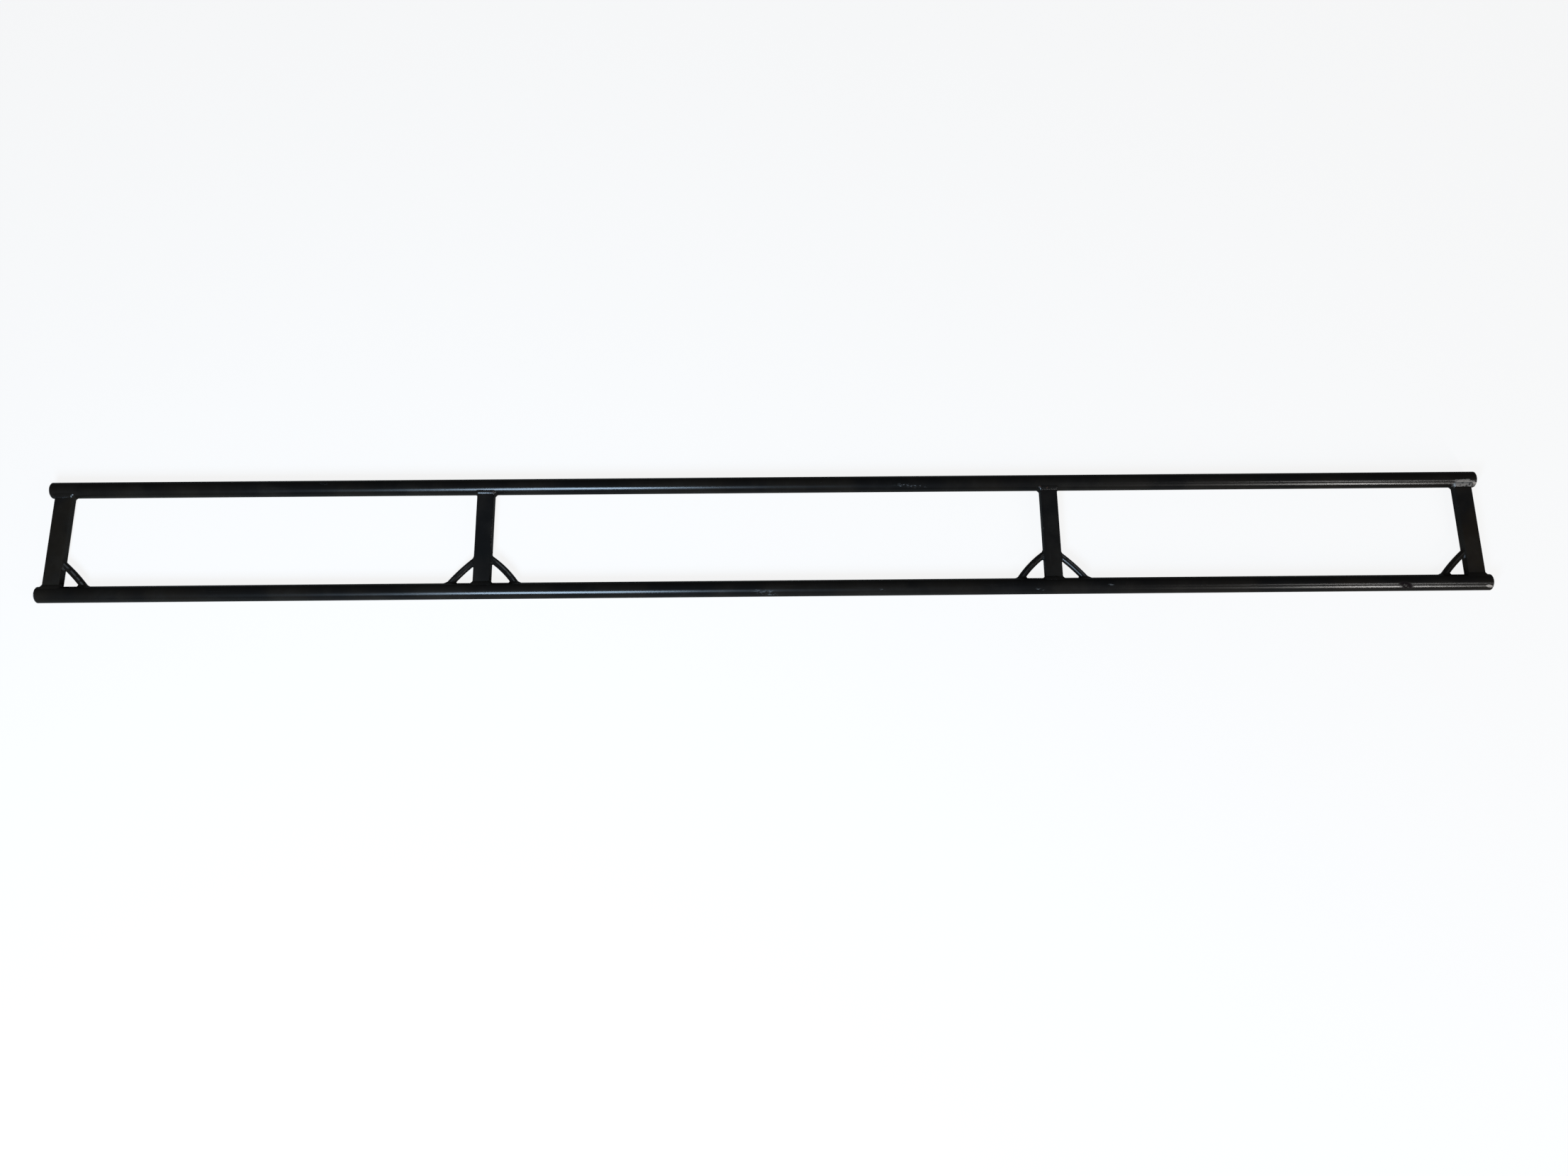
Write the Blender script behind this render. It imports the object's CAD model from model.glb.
import math
import random

import bpy
from mathutils import Matrix, Vector


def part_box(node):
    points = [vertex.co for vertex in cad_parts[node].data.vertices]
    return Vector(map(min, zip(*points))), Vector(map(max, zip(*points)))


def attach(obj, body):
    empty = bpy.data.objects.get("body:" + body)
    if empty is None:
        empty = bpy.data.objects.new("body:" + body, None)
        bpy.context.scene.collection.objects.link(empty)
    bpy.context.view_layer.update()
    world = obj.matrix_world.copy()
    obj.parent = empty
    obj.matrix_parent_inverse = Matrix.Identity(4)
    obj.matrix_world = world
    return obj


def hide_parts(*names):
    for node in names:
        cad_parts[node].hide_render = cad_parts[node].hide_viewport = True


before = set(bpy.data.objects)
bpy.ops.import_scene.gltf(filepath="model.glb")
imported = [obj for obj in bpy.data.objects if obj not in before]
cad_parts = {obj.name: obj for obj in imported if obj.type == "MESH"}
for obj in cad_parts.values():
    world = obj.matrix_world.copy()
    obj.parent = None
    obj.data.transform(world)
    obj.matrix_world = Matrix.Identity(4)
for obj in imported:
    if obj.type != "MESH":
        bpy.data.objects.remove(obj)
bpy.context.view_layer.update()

# The looks of a welded ladder truss section that lies flat on a pale floor. Units are metres.
# X runs along the chords, Y from the lower chord to the upper one, Z is up.

MM = 0.001

# ---------------------------------------------------------------------------- places from the frame


def middle(node):
    low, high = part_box(node)
    return (low + high) / 2


def half_size(node):
    low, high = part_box(node)
    return (high - low) / 2


CHORDS = ["lower_chord_tube", "upper_chord_tube"]
SPREADERS = ["left_end_spreader", "left_mid_spreader", "right_mid_spreader", "right_end_spreader"]
# How far a brace's bar bows out. The inner braces are the two that face the middle bay.
OUTER_BOW = 1.5 * MM
INNER_BOW = 3 * MM
# Every brace: the name its nodes start with, its spreader, the spreader's side it stands on, its bow.
BRACES = [
    ("left_end_brace", "left_end_spreader", 1, OUTER_BOW),
    ("left_mid_outer_brace", "left_mid_spreader", -1, OUTER_BOW),
    ("left_mid_inner_brace", "left_mid_spreader", 1, INNER_BOW),
    ("right_mid_inner_brace", "right_mid_spreader", -1, INNER_BOW),
    ("right_mid_outer_brace", "right_mid_spreader", 1, OUTER_BOW),
    ("right_end_brace", "right_end_spreader", -1, OUTER_BOW),
]

CHORD_Y = {node: middle(node).y for node in CHORDS}
CHORD_RADIUS = half_size("lower_chord_tube").z
HALF_LENGTH = half_size("lower_chord_tube").x
SPREADER_HALF_WIDTH = half_size("left_end_spreader").x
SPREADER_HALF_DEPTH = half_size("left_end_spreader").z
SPREADER_CORNER = 2 * MM
BRACE_RADIUS = half_size("left_end_brace").z
FLOOR_Z = -CHORD_RADIUS

# ------------------------------------------------------------------------------------ weld beads
# A bead is built about its joint: the origin is on the chord's axis where the spreader's axis meets
# it, the spreader rises along +Y, and the brace stands on its +X side. A bead is a closed ring of
# closed cross-sections. Each section starts at its toe on the chord (or the spreader's side), bulges
# out to its toe on the other piece, and closes through points that are buried in the steel. The toes
# themselves lie a hair under the surfaces, so that a bead comes out of them without a step.

WELD_LEG = 5.2 * MM
CROWN_POINTS = 13
BURIED = 0.5 * MM
TOE_BURIED = 0.12 * MM
STEPS_PER_RIPPLE = 7
# A hand-laid bead's unevenness: how far its leg and its height wander, how far the ripples drift from
# an even beat, and how much each ripple widens the leg. Shares are of the leg or of one ripple.
LEG_WANDER = 0.07
HEIGHT_WANDER = 0.3 * MM
BEAT_WANDER = 0.35
SCALLOP = 0.035
# How far the middle of a ripple's edge runs ahead of its ends, as a share of one ripple.
RIPPLE_CURVE = 0.55
# Where the bead closes on itself it's wider and higher. The span is a share of the way round, squared.
TIE_IN_WIDENING = 0.1
TIE_IN_HEIGHT = 0.6 * MM
TIE_IN_SPAN_SQUARED = 0.0006
# How much less leg a brace's top weld has over the bar's crests, next to the spreader's corners.
TOP_WELD_NARROWING = 0.45


def wander(seed, harmonics=4):
    """A smooth closed curve of a few waves, about -1 to 1, as a function of a turn from 0 to 1."""
    rng = random.Random(seed)
    waves = [(number, rng.uniform(0.4, 1.0) / number, rng.uniform(0, math.tau))
             for number in range(1, harmonics + 1)]
    return lambda turn: sum(size * math.sin(math.tau * number * turn + phase)
                            for number, size, phase in waves)


def walk_on_chord(start, outward, distance):
    """Go a distance over the chord's round surface, away from a piece that faces outward there."""
    angle = math.atan2(start.z, start.y)
    along = outward.x
    around = outward.z * math.cos(angle) - outward.y * math.sin(angle)
    scale = distance / math.hypot(along, around)
    angle += around * scale / CHORD_RADIUS
    return Vector((start.x + along * scale,
                   CHORD_RADIUS * math.cos(angle),
                   CHORD_RADIUS * math.sin(angle)))


def walk_on_spreader_side(start, outward, distance):
    """Go a distance over the spreader's +X side, round its corner where the flat ends."""
    scale = distance / math.hypot(outward.y, outward.z)
    y, z = start.y + outward.y * scale, start.z + outward.z * scale
    flat = SPREADER_HALF_DEPTH - SPREADER_CORNER
    past = max(abs(z) - flat, 0) / SPREADER_CORNER
    if past:
        z = math.copysign(flat + SPREADER_CORNER * math.sin(past), z)
    x = SPREADER_HALF_WIDTH - SPREADER_CORNER * (1 - math.cos(past))
    return Vector((x, y, z))


def rounded_rectangle(turn):
    """Point and outward direction on a spreader's outline in X and Z, at a turn from 0 to 1."""
    flat_x = SPREADER_HALF_WIDTH - SPREADER_CORNER
    flat_z = SPREADER_HALF_DEPTH - SPREADER_CORNER
    arc = SPREADER_CORNER * math.pi / 2
    lengths = [2 * flat_z, arc, 2 * flat_x, arc] * 2
    along = turn % 1 * sum(lengths)
    side = 0
    while along > lengths[side]:
        along -= lengths[side]
        side += 1
    angle = along / SPREADER_CORNER
    # sides 0 and 4 are the narrow sides, 2 and 6 the broad faces, the odd ones the corners
    if side == 0:
        normal = Vector((1, 0, 0))
        point = Vector((SPREADER_HALF_WIDTH, 0, along - flat_z))
    elif side == 1:
        normal = Vector((math.cos(angle), 0, math.sin(angle)))
        point = Vector((flat_x, 0, flat_z)) + SPREADER_CORNER * normal
    elif side == 2:
        normal = Vector((0, 0, 1))
        point = Vector((flat_x - along, 0, SPREADER_HALF_DEPTH))
    elif side == 3:
        normal = Vector((-math.sin(angle), 0, math.cos(angle)))
        point = Vector((-flat_x, 0, flat_z)) + SPREADER_CORNER * normal
    else:
        # the second half of the outline is the first half turned about the axis
        point, normal = rounded_rectangle(turn - 0.5)
        point, normal = -point, -normal
    return point, normal


def spreader_seam(turn):
    """The seam round a spreader's end, at a turn from 0 to 1.

    Gives the root, its outward direction, the way up the piece that stands there, how to walk over
    the surface it stands on, and the share of the full leg that the weld has there."""
    root, outward = rounded_rectangle(turn)
    root.y = math.sqrt(CHORD_RADIUS ** 2 - root.z ** 2)
    return root, outward, Vector((0, 1, 0)), walk_on_chord, 1.0


def brace_end_line(brace, spreader, bow, at_foot):
    """End point of a brace's axis, and the direction in which its bar leaves that end."""
    foot = Vector((abs(middle(f"{brace}_foot_weld").x - middle(spreader).x), CHORD_RADIUS, 0))
    top = Vector((SPREADER_HALF_WIDTH,
                  middle(f"{brace}_top_weld").y - CHORD_Y["lower_chord_tube"], 0))
    half_span = (top - foot).length / 2
    bow_radius = (half_span ** 2 + bow ** 2) / (2 * bow)
    lean = math.asin(half_span / bow_radius)
    straight = (top - foot).normalized() if at_foot else (foot - top).normalized()
    return (foot if at_foot else top), Matrix.Rotation(-lean if at_foot else lean, 3, "Z") @ straight


def foot_seam_of(brace, spreader, bow):
    """The same as spreader_seam, for the seam round a brace's foot."""
    end, direction = brace_end_line(brace, spreader, bow, at_foot=True)
    across = Vector((direction.y, -direction.x, 0))

    def seam(turn):
        outward = across * math.cos(math.tau * turn) + Vector((0, 0, math.sin(math.tau * turn)))
        ring = end + BRACE_RADIUS * outward
        rise = (math.sqrt(CHORD_RADIUS ** 2 - ring.z ** 2) - ring.y) / direction.y
        return ring + rise * direction, outward, direction, walk_on_chord, 1.0

    return seam


def top_seam_of(brace, spreader, bow):
    """The same for the seam where a brace meets the spreader, which is narrow next to the corners."""
    end, direction = brace_end_line(brace, spreader, bow, at_foot=False)
    across = Vector((-direction.y, direction.x, 0))

    def seam(turn):
        outward = across * math.cos(math.tau * turn) + Vector((0, 0, math.sin(math.tau * turn)))
        ring = end + BRACE_RADIUS * outward
        reach = (SPREADER_HALF_WIDTH - ring.x) / direction.x
        leg_share = 1 - TOP_WELD_NARROWING * abs(math.sin(math.tau * turn))
        return ring + reach * direction, outward, direction, walk_on_spreader_side, leg_share

    return seam


def seam_length(seam, samples=100):
    return sum((seam(step / samples)[0] - seam((step + 1) / samples)[0]).length
               for step in range(samples))


def crown_line(toe, upper_toe, bulge, height, ripple, beat):
    """The outer side of a bead's section: a dome, with the ripples' curved edges running over it."""
    line = []
    for number in range(CROWN_POINTS):
        share = number / (CROWN_POINTS - 1)
        dome = math.sin(math.pi * share)
        ripple_edge = math.cos(math.tau * (beat + RIPPLE_CURVE * dome))
        lift = height * dome ** 0.8 + ripple * ripple_edge * dome
        line.append(toe.lerp(upper_toe, share) + lift * bulge)
    return line


def bead_sections(seam, seed, pitch, ripple, side_crown, face_crown):
    """Cross-sections of a rippled fillet bead along a closed seam.

    The crowns are how far it bulges at the joint's sides and on its upper and lower face."""
    ripples = round(seam_length(seam) / pitch)
    count = ripples * STEPS_PER_RIPPLE
    rng = random.Random(seed)
    width_drift, height_drift, beat_drift = (wander(rng.random()) for _ in range(3))
    tie_in = rng.random()
    sections = []
    for step in range(count):
        turn = step / count
        root, outward, rising, walk, leg_share = seam(turn)
        from_tie_in = (turn - tie_in + 0.5) % 1 - 0.5
        near_tie_in = math.exp(-from_tie_in ** 2 / TIE_IN_SPAN_SQUARED)
        beat = ripples * turn + BEAT_WANDER * beat_drift(turn)
        scallop = SCALLOP * math.cos(math.tau * beat)
        widening = 1 + LEG_WANDER * width_drift(turn) + scallop + TIE_IN_WIDENING * near_tie_in
        leg = WELD_LEG * leg_share * widening
        toe = walk(root, outward, leg)
        toe -= TOE_BURIED * toe_normal(walk, toe)
        upper_toe = root + leg * rising - TOE_BURIED * outward
        bulge = ((toe + upper_toe) / 2 - root).normalized()
        crown = side_crown + (face_crown - side_crown) * abs(outward.z) ** 3
        height = leg_share * (crown + HEIGHT_WANDER * height_drift(turn)
                              + TIE_IN_HEIGHT * near_tie_in)
        section = crown_line(toe, upper_toe, bulge, height, ripple, beat)
        inward = -BURIED * outward
        section += [upper_toe + inward, root + 2 * inward - BURIED * rising,
                    toe - BURIED * toe_normal(walk, toe)]
        sections.append(section)
    return sections


def toe_normal(walk, toe):
    """Outward direction of the surface that a bead's first toe lies on."""
    if walk is walk_on_chord:
        return Vector((0, toe.y, toe.z)) / CHORD_RADIUS
    return Vector((1, 0, 0))


def mesh_from_ring(name, sections):
    """A closed mesh through a ring of closed sections that all have the same number of points."""
    rows, columns = len(sections), len(sections[0])
    points = [point for section in sections for point in section]
    faces = []
    for row in range(rows):
        for column in range(columns):
            here, ahead = row * columns, (row + 1) % rows * columns
            beside = (column + 1) % columns
            faces.append((here + column, ahead + column, ahead + beside, here + beside))
    mesh = bpy.data.meshes.new(name)
    mesh.from_pydata(points, [], faces)
    mesh.validate()
    mesh.update()
    mesh.shade_smooth()
    return mesh


def add_bead(node, sections, placement):
    """Put a bead in place of its plain CAD weld."""
    bead = bpy.data.objects.new(f"{node}_bead", mesh_from_ring(f"{node}_bead", sections))
    bpy.context.scene.collection.objects.link(bead)
    bead.data.transform(placement)
    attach(bead, "root")
    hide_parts(node)
    return bead


def joint_placement(spreader, chord, turned_end_for_end=False, turned_over=False):
    """Where a bead that is built about its joint goes on the section."""
    placement = Matrix.Translation((middle(spreader).x, CHORD_Y[chord], 0))
    if turned_end_for_end:
        placement = placement @ Matrix.Rotation(math.pi, 4, "Z")
    if turned_over:
        placement = placement @ Matrix.Rotation(math.pi, 4, "Y")
    return placement


def add_welds():
    beads = []
    for spreader in SPREADERS:
        for side, chord in (("lower", "lower_chord_tube"), ("upper", "upper_chord_tube")):
            node = f"{spreader}_{side}_weld"
            sections = bead_sections(spreader_seam, node, pitch=2.2 * MM, ripple=0.08 * MM,
                                     side_crown=-0.4 * MM, face_crown=0.7 * MM)
            place = joint_placement(spreader, chord, turned_end_for_end=side == "upper")
            beads.append(add_bead(node, sections, place))
    for brace, spreader, side, bow in BRACES:
        place = joint_placement(spreader, "lower_chord_tube", turned_over=side < 0)
        for node, seam in ((f"{brace}_foot_weld", foot_seam_of(brace, spreader, bow)),
                           (f"{brace}_top_weld", top_seam_of(brace, spreader, bow))):
            sections = bead_sections(seam, node, pitch=1.9 * MM, ripple=0.10 * MM,
                                     side_crown=-0.5 * MM, face_crown=-0.5 * MM)
            beads.append(add_bead(node, sections, place))
    return beads


# --------------------------------------------------------------------------------- material helpers


class Recipe:
    """A material's node tree, with one short call per node."""

    def __init__(self, name):
        self.material = bpy.data.materials.new(name)
        self.material.use_nodes = True
        self.tree = self.material.node_tree
        self.tree.nodes.clear()
        self.place = self.node("ShaderNodeTexCoord").outputs["Object"]

    def node(self, kind, settings=None, **inputs):
        """Add a node. Inputs are given by name, with _ for a space, as a value or another's output."""
        node = self.tree.nodes.new(kind)
        for setting, value in (settings or {}).items():
            setattr(node, setting, value)
        for name, value in inputs.items():
            self.feed(node.inputs[name.replace("_", " ")], value)
        return node

    def feed(self, socket, value):
        if isinstance(value, bpy.types.NodeSocket):
            self.tree.links.new(value, socket)
        else:
            socket.default_value = value

    def math(self, operation, first, second=0.0, third=0.0):
        node = self.tree.nodes.new("ShaderNodeMath")
        node.operation = operation
        for socket, value in zip(node.inputs, (first, second, third)):
            self.feed(socket, value)
        return node.outputs[0]

    def noise(self, scale, detail=3.0, place=None, roughness=0.5):
        return self.node("ShaderNodeTexNoise", Vector=place or self.place, Scale=scale,
                         Detail=detail, Roughness=roughness).outputs["Fac"]

    def stretched(self, x, y, z):
        """The surface's place, scaled by its own number along each axis."""
        return self.node("ShaderNodeMapping", Vector=self.place, Scale=(x, y, z)).outputs[0]

    def steps(self, value, low, high, to_low=0.0, to_high=1.0):
        """Map a value from one range to another, smoothly and clamped."""
        node = self.node("ShaderNodeMapRange", {"interpolation_type": "SMOOTHSTEP"})
        for name, number in (("Value", value), ("From Min", low), ("From Max", high),
                             ("To Min", to_low), ("To Max", to_high)):
            self.feed(node.inputs[name], number)
        return node.outputs["Result"]

    def blend(self, share, first, second):
        """Mix two colours."""
        node = self.tree.nodes.new("ShaderNodeMix")
        node.data_type = "RGBA"
        sockets = {socket.identifier: socket for socket in node.inputs}
        self.feed(sockets["Factor_Float"], share)
        for identifier, colour in (("A_Color", first), ("B_Color", second)):
            if isinstance(colour, bpy.types.NodeSocket):
                self.tree.links.new(colour, sockets[identifier])
            else:
                sockets[identifier].default_value = (*colour, 1.0)
        return next(socket for socket in node.outputs if socket.identifier == "Result_Color")

    def largest(self, *values):
        result = values[0]
        for value in values[1:]:
            result = self.math("MAXIMUM", result, value)
        return result

    def split(self):
        """The surface's place as its X, Y and Z."""
        return list(self.node("ShaderNodeSeparateXYZ", Vector=self.place).outputs)

    def finish(self, **inputs):
        shader = self.node("ShaderNodeBsdfPrincipled", **inputs)
        output = self.tree.nodes.new("ShaderNodeOutputMaterial")
        self.tree.links.new(shader.outputs[0], output.inputs[0])
        return self.material


# ------------------------------------------------------------------------------------------ paint

BLACK = (0.0088, 0.0081, 0.0079)
BROWN_BLACK = (0.0165, 0.0130, 0.0102)
DUST = (0.11, 0.10, 0.09)
BROWN_FILM = (0.050, 0.031, 0.014)
SCRAPED = (0.15, 0.15, 0.15)
SMUDGED = (0.016, 0.010, 0.010)
STEEL = (0.34, 0.315, 0.29)
RUST = (0.075, 0.028, 0.012)
# How metallic rubbed steel is: grey primer and grime are left in its grooves.
DULL_METAL = 0.45

# Patches on the chords: the middle's place as a share of the half length, half the patch's length,
# the middle's place round the tube in degrees from its top towards +Y, and half of what it covers.
SCRAPES = {
    "lower_chord_tube": [(-0.004, 24 * MM, -44, 24), (0.156, 7 * MM, -28, 8),
                         (0.374, 11 * MM, -38, 10), (0.469, 8 * MM, -8, 6)],
    "upper_chord_tube": [(0.199, 34 * MM, -32, 14), (-0.62, 9 * MM, 20, 10)],
}
SMUDGES = {
    "lower_chord_tube": [(0.878, 15 * MM, -32, 27)],
    "upper_chord_tube": [],
}
WORN_PATCHES = {
    "lower_chord_tube": [(0.994, 9 * MM, -44, 16)],
    "upper_chord_tube": [(0.988, 34 * MM, -52, 42)],
}
# How far a patch shifts round the tube from its middle to its end, as a share of the last number.
PATCH_SLANT = 0.5
WORN_WELD = "right_end_spreader_upper_weld"


def enamel_layers(recipe, clean_roughness, dust_amount, handling):
    """Colour, roughness and height of black enamel with faint blotches, dust and orange peel.

    clean_roughness is the enamel's own, without dust. handling is how much a brown film covers it
    towards the section's two ends."""
    blotches = recipe.steps(recipe.noise(7, 4), 0.40, 0.60)
    colour = recipe.blend(blotches, BLACK, BROWN_BLACK)
    near_ends = recipe.steps(recipe.math("ABSOLUTE", recipe.split()[0]),
                             0.55 * HALF_LENGTH, 0.95 * HALF_LENGTH)
    handled = recipe.math("MULTIPLY", near_ends, recipe.steps(recipe.noise(9, 4), 0.34, 0.60))
    colour = recipe.blend(recipe.math("MULTIPLY", handled, handling), colour, BROWN_FILM)
    cloud = recipe.steps(recipe.noise(14, 6, roughness=0.68), 0.42, 0.72)
    specks = recipe.steps(recipe.noise(1100, 2), 0.67, 0.74)
    haze = recipe.math("MULTIPLY", cloud, 0.10)
    speck_share = recipe.math("MULTIPLY_ADD", cloud, 0.5, 0.12)
    dust = recipe.math("MULTIPLY_ADD", specks, speck_share, haze)
    dust = recipe.math("MULTIPLY", dust, dust_amount)
    colour = recipe.blend(dust, colour, DUST)
    smears = recipe.noise(1.0, 2, place=recipe.stretched(12, 40, 40))
    roughness = recipe.math("MULTIPLY_ADD", smears, 0.06, clean_roughness - 0.03)
    roughness = recipe.math("MULTIPLY_ADD", dust, 0.2, roughness)
    peel = recipe.noise(260, 1)
    sags = recipe.noise(40, 2)
    height = recipe.math("MULTIPLY_ADD", sags, 3.0, peel)
    return colour, roughness, height


def chips(recipe, where, size):
    """Small ragged chips down to the steel, mostly where the given share is high."""
    spots = recipe.noise(1 / size, 3, roughness=0.6)
    knocked = recipe.math("MULTIPLY", where, recipe.steps(recipe.noise(16, 3), 0.50, 0.66))
    threshold = recipe.math("MULTIPLY_ADD", knocked, -0.20, 0.74)
    return recipe.steps(recipe.math("SUBTRACT", spots, threshold), 0.0, 0.02)


def hairlines(recipe, x, y, z):
    """Fine scratches that run along the axis whose number is the smallest, here and there."""
    lines = recipe.steps(recipe.noise(1.0, 2, place=recipe.stretched(x, y, z)), 0.66, 0.72)
    here = recipe.steps(recipe.noise(6, 2), 0.48, 0.66)
    return recipe.math("MULTIPLY", lines, here)


def patches_on_chord(recipe, chord, patches):
    """1 inside the listed patches of a chord's surface, fading to 0 at their borders."""
    x, y, z = recipe.split()
    degrees = recipe.math("DEGREES", recipe.math("ARCTAN2",
                                                 recipe.math("SUBTRACT", y, CHORD_Y[chord]), z))
    shares = []
    for share, half_length, angle, half_angle in patches:
        along = recipe.math("DIVIDE", recipe.math("SUBTRACT", x, share * HALF_LENGTH), half_length)
        around = recipe.math("DIVIDE", recipe.math("SUBTRACT", degrees, angle), half_angle)
        around = recipe.math("MULTIPLY_ADD", along, PATCH_SLANT, around)
        distance = recipe.math("SQRT", recipe.math("ADD", recipe.math("POWER", along, 2.0),
                                                   recipe.math("POWER", around, 2.0)))
        shares.append(recipe.steps(distance, 1.25, 0.55))
    return recipe.largest(0.0, *shares)


def scrapes(recipe, chord):
    """Patches where the enamel is scraped, in slanting streaks with ragged ends."""
    streaks = recipe.node("ShaderNodeMapping", Vector=recipe.place, Rotation=(0, 0, 0.35),
                          Scale=(110, 620, 620)).outputs[0]
    lines = recipe.steps(recipe.noise(1.0, 3, place=streaks), 0.52, 0.60)
    ragged = recipe.steps(recipe.noise(160, 3), 0.40, 0.56)
    broken = recipe.math("MULTIPLY", lines, ragged)
    return recipe.math("MULTIPLY", patches_on_chord(recipe, chord, SCRAPES[chord]), broken)


def smudges(recipe, chord):
    """Dull dirty patches that swallow the enamel's shine."""
    ragged = recipe.steps(recipe.noise(120, 3), 0.30, 0.45)
    return recipe.math("MULTIPLY", patches_on_chord(recipe, chord, SMUDGES[chord]), ragged)


def worn_places(recipe, chord):
    """Where a chord shows bare steel: knocks on the rims of its ends, and a few rubbed patches."""
    from_middle = recipe.math("ABSOLUTE", recipe.split()[0])
    near_end = recipe.steps(from_middle, HALF_LENGTH - 2.5 * MM, HALF_LENGTH - 0.3 * MM)
    rims = recipe.math("MULTIPLY", near_end, recipe.steps(recipe.noise(150, 4), 0.42, 0.58))
    rubbed = patches_on_chord(recipe, chord, WORN_PATCHES[chord])
    ragged = recipe.noise(1.0, 5, place=recipe.stretched(70, 260, 260), roughness=0.65)
    rubbed = recipe.steps(recipe.math("MULTIPLY_ADD", rubbed, 0.42, ragged), 0.76, 0.86)
    return recipe.largest(rims, rubbed)


def chord_paint(chord):
    recipe = Recipe(f"{chord}_enamel")
    colour, roughness, height = enamel_layers(recipe, clean_roughness=0.22, dust_amount=0.5,
                                              handling=0.12)
    scratches = hairlines(recipe, 9, 1800, 1800)
    colour = recipe.blend(recipe.math("MULTIPLY", scratches, 0.35), colour, DUST)
    scraped = scrapes(recipe, chord)
    colour = recipe.blend(scraped, colour, SCRAPED)
    smudged = smudges(recipe, chord)
    colour = recipe.blend(smudged, colour, SMUDGED)
    roughness = recipe.math("MULTIPLY_ADD", scraped, 0.25, roughness)
    roughness = recipe.math("MULTIPLY_ADD", smudged, 0.5, roughness)
    shine = recipe.math("MULTIPLY_ADD", smudged, -0.42, 0.5)
    bare = worn_places(recipe, chord)
    colour = recipe.blend(bare, colour, STEEL)
    roughness = recipe.math("MULTIPLY_ADD", bare, 0.22, roughness)
    height = recipe.math("MULTIPLY_ADD", recipe.math("ADD", bare, scraped), -2.0, height)
    bump = recipe.node("ShaderNodeBump", Height=height, Strength=0.10, Distance=0.05 * MM)
    return recipe.finish(Base_Color=colour, Roughness=roughness,
                         Metallic=recipe.math("MULTIPLY", bare, DULL_METAL),
                         Specular_IOR_Level=shine, Normal=bump.outputs[0])


def spreader_corners(recipe):
    """1 along the long corners of the spreaders, where knocks reach them first."""
    x, _, z = recipe.split()
    across = HALF_LENGTH
    for spreader in SPREADERS:
        from_axis = recipe.math("ABSOLUTE", recipe.math("SUBTRACT", x, middle(spreader).x))
        across = recipe.math("MINIMUM", from_axis, across)
    across = recipe.steps(across, SPREADER_HALF_WIDTH - 3 * MM, SPREADER_HALF_WIDTH - 0.5 * MM)
    through = recipe.steps(recipe.math("ABSOLUTE", z), SPREADER_HALF_DEPTH - 3 * MM,
                           SPREADER_HALF_DEPTH - 0.5 * MM)
    return recipe.math("MULTIPLY", across, through)


def spreader_paint():
    recipe = Recipe("spreader_enamel")
    colour, roughness, height = enamel_layers(recipe, clean_roughness=0.40, dust_amount=0.8,
                                              handling=0.32)
    scratches = hairlines(recipe, 1500, 12, 1500)
    colour = recipe.blend(recipe.math("MULTIPLY", scratches, 0.3), colour, DUST)
    bare = chips(recipe, spreader_corners(recipe), 2.6 * MM)
    colour = recipe.blend(bare, colour, STEEL)
    grain = recipe.noise(1.0, 4, place=recipe.stretched(700, 25, 700))
    height = recipe.math("MULTIPLY_ADD", grain, 1.5, height)
    height = recipe.math("MULTIPLY_ADD", bare, -2.0, height)
    bump = recipe.node("ShaderNodeBump", Height=height, Strength=0.25, Distance=0.06 * MM)
    return recipe.finish(Base_Color=colour, Roughness=roughness, Metallic=bare,
                         Normal=bump.outputs[0])


def dusty_crest(recipe):
    """1 in a line along the bars' crests that face up, +X and +Y, where dust has settled."""
    facing = recipe.node("ShaderNodeNewGeometry").outputs["Normal"]
    crest = recipe.node("ShaderNodeVectorMath", {"operation": "DOT_PRODUCT"})
    recipe.feed(crest.inputs[0], facing)
    crest.inputs[1].default_value = (0.17, 0.17, 0.97)
    broken = recipe.steps(recipe.noise(90, 4), 0.34, 0.52)
    return recipe.math("MULTIPLY", recipe.steps(crest.outputs["Value"], 0.95, 0.99), broken)


def brace_paint():
    recipe = Recipe("brace_enamel")
    colour, roughness, height = enamel_layers(recipe, clean_roughness=0.28, dust_amount=0.6,
                                              handling=0.2)
    colour = recipe.blend(dusty_crest(recipe), colour, DUST)
    bare = chips(recipe, 0.15, 1.8 * MM)
    colour = recipe.blend(bare, colour, STEEL)
    height = recipe.math("MULTIPLY_ADD", bare, -2.0, height)
    bump = recipe.node("ShaderNodeBump", Height=height, Strength=0.2, Distance=0.06 * MM)
    return recipe.finish(Base_Color=colour, Roughness=roughness, Metallic=bare,
                         Normal=bump.outputs[0])


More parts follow.
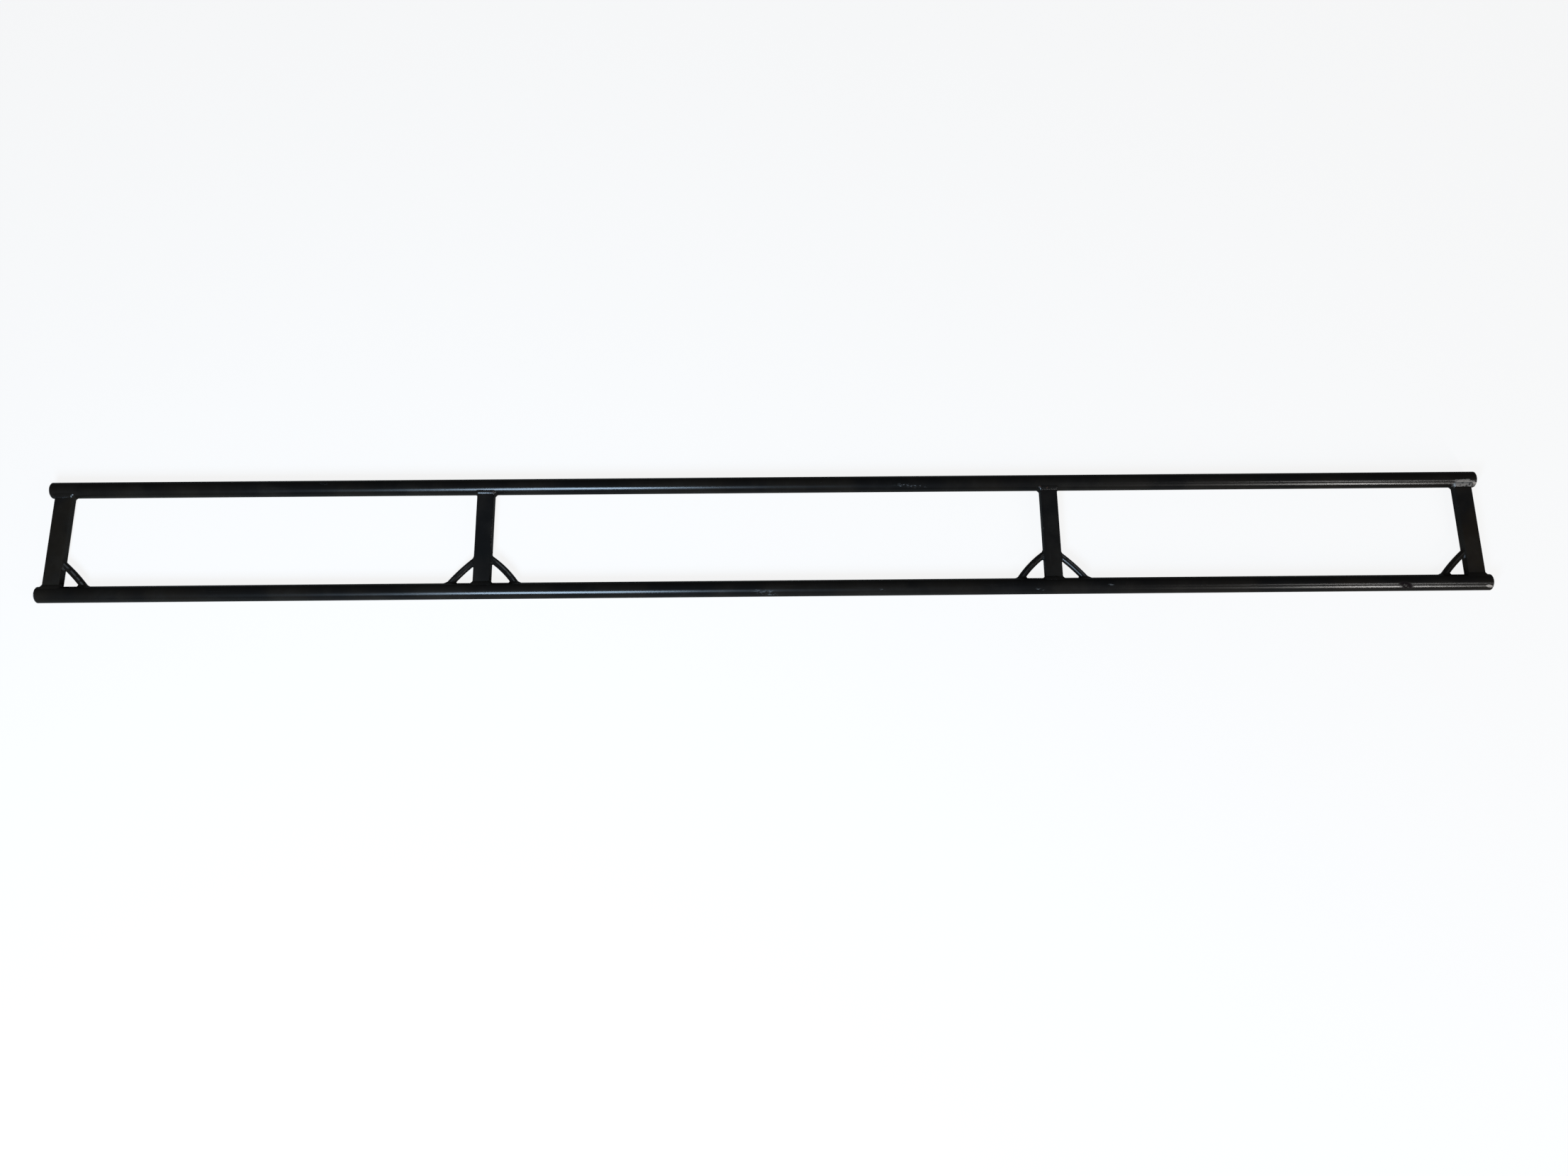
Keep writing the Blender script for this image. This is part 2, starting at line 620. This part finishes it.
def weld_paint(name, clean_roughness, wear):
    """Enamel over a weld. wear from 0 to 1 is how much of it is gone from the sides that face up."""
    recipe = Recipe(name)
    colour, roughness, height = enamel_layers(recipe, clean_roughness, dust_amount=0.6, handling=0.2)
    rusty = recipe.math("MULTIPLY", recipe.steps(recipe.noise(130, 5), 0.64, 0.72),
                        recipe.steps(recipe.noise(18, 2), 0.54, 0.64))
    colour = recipe.blend(rusty, colour, RUST)
    roughness = recipe.math("MULTIPLY_ADD", rusty, 0.4, roughness)
    threshold = 0.72 - 0.34 * wear
    bare = recipe.steps(recipe.noise(170, 5, roughness=0.62), threshold, threshold + 0.08)
    facing = recipe.node("ShaderNodeNewGeometry").outputs["Normal"]
    upwards = recipe.node("ShaderNodeSeparateXYZ", Vector=facing).outputs["Z"]
    bare = recipe.math("MULTIPLY", bare, recipe.steps(upwards, 0.25, 0.65))
    colour = recipe.blend(bare, colour, STEEL)
    roughness = recipe.math("MULTIPLY_ADD", bare, 0.22, roughness)
    lumps = recipe.noise(500, 2)
    height = recipe.math("MULTIPLY_ADD", lumps, 1.5, height)
    bump = recipe.node("ShaderNodeBump", Height=height, Strength=0.25, Distance=0.08 * MM)
    return recipe.finish(Base_Color=colour, Roughness=roughness,
                         Metallic=recipe.math("MULTIPLY", bare, DULL_METAL),
                         Normal=bump.outputs[0])


def paint(piece, material):
    piece.data.materials.clear()
    piece.data.materials.append(material)


def paint_everything(beads):
    for chord in CHORDS:
        paint(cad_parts[chord], chord_paint(chord))
    spreader_material, brace_material = spreader_paint(), brace_paint()
    spreader_weld_material = weld_paint("spreader_weld_enamel", clean_roughness=0.24, wear=0.1)
    worn_weld_material = weld_paint("worn_weld_enamel", clean_roughness=0.24, wear=1.0)
    brace_weld_material = weld_paint("brace_weld_enamel", clean_roughness=0.38, wear=0.1)
    for spreader in SPREADERS:
        paint(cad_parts[spreader], spreader_material)
    for brace, _, _, _ in BRACES:
        paint(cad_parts[brace], brace_material)
    for bead in beads:
        if bead.name.startswith(WORN_WELD):
            paint(bead, worn_weld_material)
        elif "brace" in bead.name:
            paint(bead, brace_weld_material)
        else:
            paint(bead, spreader_weld_material)


# ------------------------------------------------------------------------------------- the stage

CAMERA_PLACE = Vector((0.0032, -0.7476, 2.4129))
CAMERA_TURN = (0.2575, -0.0118, -0.0119)
CAMERA_VIEW_WIDTH = math.radians(66.0)

FLOOR_SIZE = 400
# What the floor and the sky show to the camera, and what they give the object as light: a warm grey
# floor and a dim sky. The floor shown is part glow, so that the section's shadows on it are faint.
FLOOR_SHOWN = 0.22
FLOOR_GLOW = 0.88
FLOOR_REFLECTED = (0.30, 0.27, 0.23)
SKY_SHOWN = 1.0
DIM_SKY = 0.035
BRIGHT_SKY = 0.06


def add_camera():
    """The camera stands a little to the lower chord's side and looks down at the section."""
    data = bpy.data.cameras.new("camera")
    data.angle = CAMERA_VIEW_WIDTH
    camera = bpy.data.objects.new("camera", data)
    camera.location = CAMERA_PLACE
    camera.rotation_mode = "ZXY"
    camera.rotation_euler = CAMERA_TURN
    bpy.context.scene.collection.objects.link(camera)
    bpy.context.scene.camera = camera


def floor_material():
    """Pale to the camera, darker in reflections, and clear from below."""
    recipe = Recipe("studio_floor")
    seen = recipe.node("ShaderNodeLightPath").outputs["Is Camera Ray"]
    tone = recipe.steps(recipe.noise(3, 3), 0.3, 0.7, 0.985, 1.0)
    shown = recipe.math("MULTIPLY", tone, FLOOR_SHOWN)
    red, green, blue = (
        recipe.math("MULTIPLY_ADD", seen, recipe.math("SUBTRACT", shown, reflected), reflected)
        for reflected in FLOOR_REFLECTED)
    diffuse = recipe.node("ShaderNodeBsdfDiffuse")
    colour = recipe.node("ShaderNodeCombineColor", Red=red, Green=green, Blue=blue)
    recipe.feed(diffuse.inputs["Color"], colour.outputs[0])
    glow = recipe.node("ShaderNodeEmission",
                       Strength=recipe.math("MULTIPLY", seen, FLOOR_GLOW))
    lit = recipe.tree.nodes.new("ShaderNodeAddShader")
    recipe.feed(lit.inputs[0], diffuse.outputs[0])
    recipe.feed(lit.inputs[1], glow.outputs[0])
    clear = recipe.tree.nodes.new("ShaderNodeBsdfTransparent")
    choice = recipe.tree.nodes.new("ShaderNodeMixShader")
    recipe.feed(choice.inputs[0], recipe.node("ShaderNodeNewGeometry").outputs["Backfacing"])
    recipe.feed(choice.inputs[1], lit.outputs[0])
    recipe.feed(choice.inputs[2], clear.outputs[0])
    output = recipe.tree.nodes.new("ShaderNodeOutputMaterial")
    recipe.feed(output.inputs[0], choice.outputs[0])
    return recipe.material


def add_floor():
    reach = FLOOR_SIZE / 2
    mesh = bpy.data.meshes.new("floor")
    mesh.from_pydata([(-reach, -reach, FLOOR_Z), (reach, -reach, FLOOR_Z),
                      (reach, reach, FLOOR_Z), (-reach, reach, FLOOR_Z)], [], [(0, 1, 2, 3)])
    floor = bpy.data.objects.new("floor", mesh)
    bpy.context.scene.collection.objects.link(floor)
    floor.data.materials.append(floor_material())


def add_sky():
    """Soft light from all round, brighter from the camera's side. The camera sees it white."""
    world = bpy.data.worlds.new("studio")
    world.use_nodes = True
    tree = world.node_tree
    background = tree.nodes["Background"]
    background.inputs["Color"].default_value = (1.0, 1.0, 1.0, 1.0)

    direction = tree.nodes.new("ShaderNodeTexCoord").outputs["Generated"]
    parts = tree.nodes.new("ShaderNodeSeparateXYZ")
    tree.links.new(direction, parts.inputs[0])
    light = tree.nodes.new("ShaderNodeMapRange")
    light.interpolation_type = "SMOOTHSTEP"
    tree.links.new(parts.outputs["Y"], light.inputs["Value"])
    for name, value in (("From Min", 0.3), ("From Max", -0.9),
                        ("To Min", DIM_SKY), ("To Max", BRIGHT_SKY)):
        light.inputs[name].default_value = value

    choice = tree.nodes.new("ShaderNodeMix")
    seen = tree.nodes.new("ShaderNodeLightPath").outputs["Is Camera Ray"]
    tree.links.new(seen, choice.inputs["Factor"])
    tree.links.new(light.outputs["Result"], choice.inputs["A"])
    choice.inputs["B"].default_value = SKY_SHOWN
    tree.links.new(choice.outputs["Result"], background.inputs["Strength"])
    bpy.context.scene.world = world


# The renderer's energy for one square metre of soft light with a radiance of 1.
ENERGY_PER_RADIANCE = 4


def add_softbox(name, highlight_x, off_vertical, distance, width, height, radiance, colour):
    """A soft light that shows in the chords at highlight_x, seen from the camera.

    off_vertical is its direction from the section, in degrees towards the camera's side."""
    angle = math.radians(off_vertical)
    spread = distance / math.hypot(CAMERA_PLACE.y, CAMERA_PLACE.z)
    target = Vector((highlight_x, 0, 0))
    place = Vector((highlight_x + (highlight_x - CAMERA_PLACE.x) * spread,
                    -distance * math.sin(angle), distance * math.cos(angle)))
    data = bpy.data.lights.new(name, "AREA")
    data.shape = "RECTANGLE"
    data.size, data.size_y = width, height
    data.energy = ENERGY_PER_RADIANCE * width * height * radiance
    data.color = colour
    light = bpy.data.objects.new(name, data)
    light.location = place
    light.rotation_euler = (place - target).to_track_quat("Z", "Y").to_euler()
    light.visible_camera = False
    bpy.context.scene.collection.objects.link(light)


def add_lights():
    add_softbox("left_softbox", -0.43, 47, 3.0, 0.82, 1.15, 18.5, (0.58, 0.78, 1.0))
    add_softbox("right_strip", 1.25, 68, 3.0, 0.25, 1.0, 23, (1.0, 0.98, 0.95))
    add_softbox("right_softbox", 1.25, 29, 3.0, 0.25, 0.9, 8, (1.0, 0.98, 0.96))


# ---------------------------------------------------------------------------------------- assembly

paint_everything(add_welds())
add_camera()
add_floor()
add_sky()
add_lights()

scene = bpy.context.scene
scene.view_settings.view_transform = "Standard"
scene.view_settings.look = "None"
